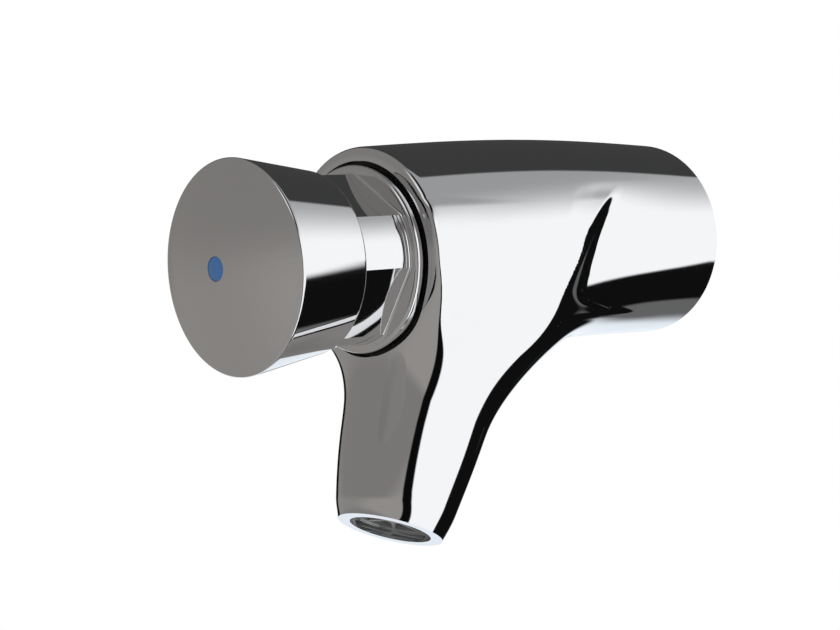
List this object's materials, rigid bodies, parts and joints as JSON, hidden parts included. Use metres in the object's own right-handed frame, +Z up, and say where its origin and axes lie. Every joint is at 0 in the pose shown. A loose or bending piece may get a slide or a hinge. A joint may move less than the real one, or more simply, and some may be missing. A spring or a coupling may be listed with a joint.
{
  "type": "push timed tap",
  "caption": "Wall-mounted self-closing tap: chromed arched barrel with a forward-leaning spout, a domed push button over a flanged cartridge head, and a spring-return timing cartridge inside.",
  "frame": {"origin": "on the wall plane, on the common axis of the inlet thread, the cartridge and the push button", "axes": "+X to the right of someone facing the tap, +Y into the wall along the inlet thread, +Z up"},
  "size_m": [0.0474, 0.1394, 0.0872],
  "materials": {
    "chromed_brass": "mirror-bright chrome plating on brass",
    "plain_brass": "turned, unplated",
    "stainless_steel": "drawn and turned",
    "black_rubber": "moulded, satin",
    "white_acetal": "moulded, satin",
    "grey_acetal": "moulded, satin",
    "blue_plastic": "moulded, glossy"
  },
  "bodies": {
    "housing": {"tap_body": "chromed_brass", "cartridge_head": "chromed_brass", "head_seal": "black_rubber", "rod_bush": "white_acetal", "rod_seal": "black_rubber", "return_spring": "stainless_steel", "spring_washer": "stainless_steel", "cartridge_sleeve": "grey_acetal", "sleeve_seal": "black_rubber", "seat_seal": "black_rubber", "valve_seat": "plain_brass", "inlet_tail": "plain_brass", "tail_seal": "black_rubber", "flow_regulator": "white_acetal", "inlet_strainer": "stainless_steel", "wall_gasket": "black_rubber", "flow_straightener": "grey_acetal"},
    "plunger": {"push_button": "chromed_brass", "button_dot": "blue_plastic", "button_screw": "stainless_steel", "piston_rod": "stainless_steel", "piston": "white_acetal", "lip_seal": "black_rubber", "piston_clip": "stainless_steel", "valve_disc": "black_rubber", "valve_holder": "plain_brass", "valve_nut": "plain_brass"}
  },
  "joints": [
    {"name": "button_press", "type": "slide", "parent": "housing", "child": "plunger", "axis": [0, 1, 0], "range_m": [0, 0.009], "stiffness_N_per_m": 1500, "deforming": ["return_spring"]}
  ]
}
